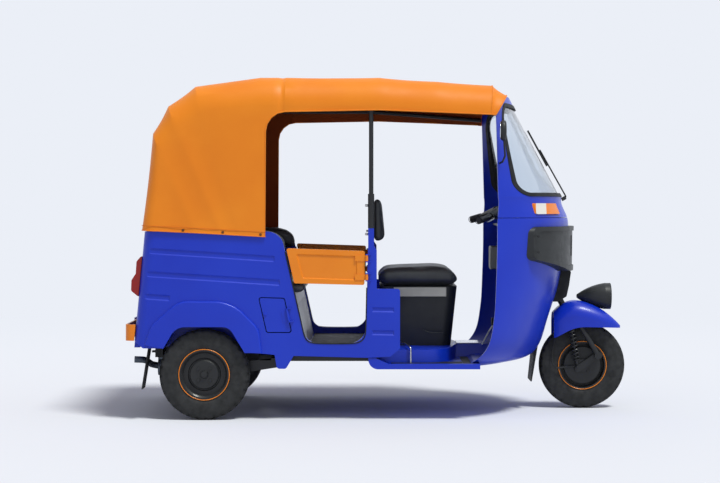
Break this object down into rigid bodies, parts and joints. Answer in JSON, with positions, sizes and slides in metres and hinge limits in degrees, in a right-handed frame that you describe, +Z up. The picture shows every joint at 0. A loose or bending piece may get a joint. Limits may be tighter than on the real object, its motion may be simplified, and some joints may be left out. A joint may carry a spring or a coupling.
{
  "type": "auto rickshaw",
  "caption": "Three-wheeled auto rickshaw taxi with a steel tub, folding cloth canopy, half doors, bench seat and scooter-style steering.",
  "frame": {"origin": "centre of the bounding box's base, on the ground under the middle of the vehicle", "axes": "+X forward to the front wheel, +Y to the vehicle's left, +Z up"},
  "size_m": [2.64, 1.478, 1.762],
  "materials": {
    "tyre": "matte",
    "blue_paint": "gloss",
    "grey_paint": "satin",
    "rubber": "matte",
    "glass": "clear",
    "dark_plastic": "satin",
    "amber_plastic": "gloss",
    "canopy_cloth": "matte",
    "dark_steel": "satin",
    "cast_metal": "matte",
    "bare_steel": "matte",
    "orange_paint": "gloss",
    "red_plastic": "gloss",
    "seat_cover": "satin"
  },
  "bodies": {
    "body": {"canopy": "canopy_cloth", "canopy_frame": "dark_steel", "chassis_frame": "dark_steel", "dashboard": "dark_plastic", "driver_backrest": "seat_cover", "driver_floor": "blue_paint", "driver_seat_base": "dark_plastic", "driver_seat_cushion": "seat_cover", "engine_block": "cast_metal", "exhaust": "bare_steel", "floor_pan": "blue_paint", "front_apron": "rubber", "front_cowl": "blue_paint", "front_mask": "dark_plastic", "mirrors": "dark_plastic", "mudflaps": "rubber", "partition_panel": "blue_paint", "passenger_seat_back": "seat_cover", "passenger_seat_base": "grey_paint", "passenger_seat_cushion": "seat_cover", "rear_bumper": "orange_paint", "rear_dampers": "dark_steel", "rear_panel": "blue_paint", "rear_shelf": "blue_paint", "side_indicators": "amber_plastic", "side_panel_left": "blue_paint", "side_panel_right": "blue_paint", "tail_lamps": "red_plastic", "trailing_arms": "dark_steel", "wheel_housings": "blue_paint", "windscreen_frame": "blue_paint", "windscreen_glass": "glass", "windscreen_seal": "rubber", "wiper": "dark_steel"},
    "steering": {"steering_fork": "dark_steel", "trailing_link": "dark_steel", "front_damper": "dark_steel", "front_fender": "blue_paint", "headlamp_shell": "dark_plastic", "headlamp_lens": "glass", "handlebar": "dark_plastic", "brake_cable": "rubber"},
    "front_wheel": {"front_tyre": "tyre", "front_rim": "dark_steel"},
    "rear_wheel_right": {"rear_tyre_right": "tyre", "rear_rim_right": "dark_steel"},
    "rear_wheel_left": {"rear_tyre_left": "tyre", "rear_rim_left": "dark_steel"},
    "door_right": {"half_door_right": "orange_paint"},
    "door_left": {"half_door_left": "orange_paint"},
    "lid": {"engine_lid": "blue_paint"},
    "flap": {"fuel_flap": "blue_paint"}
  },
  "joints": [
    {"name": "steering_turn", "type": "hinge", "parent": "body", "child": "steering", "pos_m": [0.98, 0, 0.568], "axis": [-0.4695, 0, 0.8829], "range_deg": [-40, 40]},
    {"name": "front_wheel_roll", "type": "hinge", "parent": "steering", "child": "front_wheel", "pos_m": [1.087, 0, 0.233], "axis": [0, 1, 0], "continuous": true},
    {"name": "rear_wheel_right_roll", "type": "hinge", "parent": "body", "child": "rear_wheel_right", "pos_m": [-0.913, -0.575, 0.233], "axis": [0, 1, 0], "continuous": true},
    {"name": "rear_wheel_left_roll", "type": "hinge", "parent": "body", "child": "rear_wheel_left", "pos_m": [-0.913, 0.575, 0.233], "axis": [0, 1, 0], "continuous": true},
    {"name": "door_right_swing", "type": "hinge", "parent": "body", "child": "door_right", "pos_m": [-0.08, -0.648, 0.7815], "axis": [0, 0, 1], "range_deg": [0, 100]},
    {"name": "door_left_swing", "type": "hinge", "parent": "body", "child": "door_left", "pos_m": [-0.08, 0.648, 0.7815], "axis": [0, 0, -1], "range_deg": [0, 100]},
    {"name": "lid_swing", "type": "hinge", "parent": "body", "child": "lid", "pos_m": [-1.23754, 0, 0.87424], "axis": [0, 1, 0], "range_deg": [0, 85]},
    {"name": "fuel_flap_swing", "type": "hinge", "parent": "body", "child": "flap", "pos_m": [-0.4825, -0.648, 0.5375], "axis": [-0.2066, 0, 0.9784], "range_deg": [0, 100]}
  ]
}
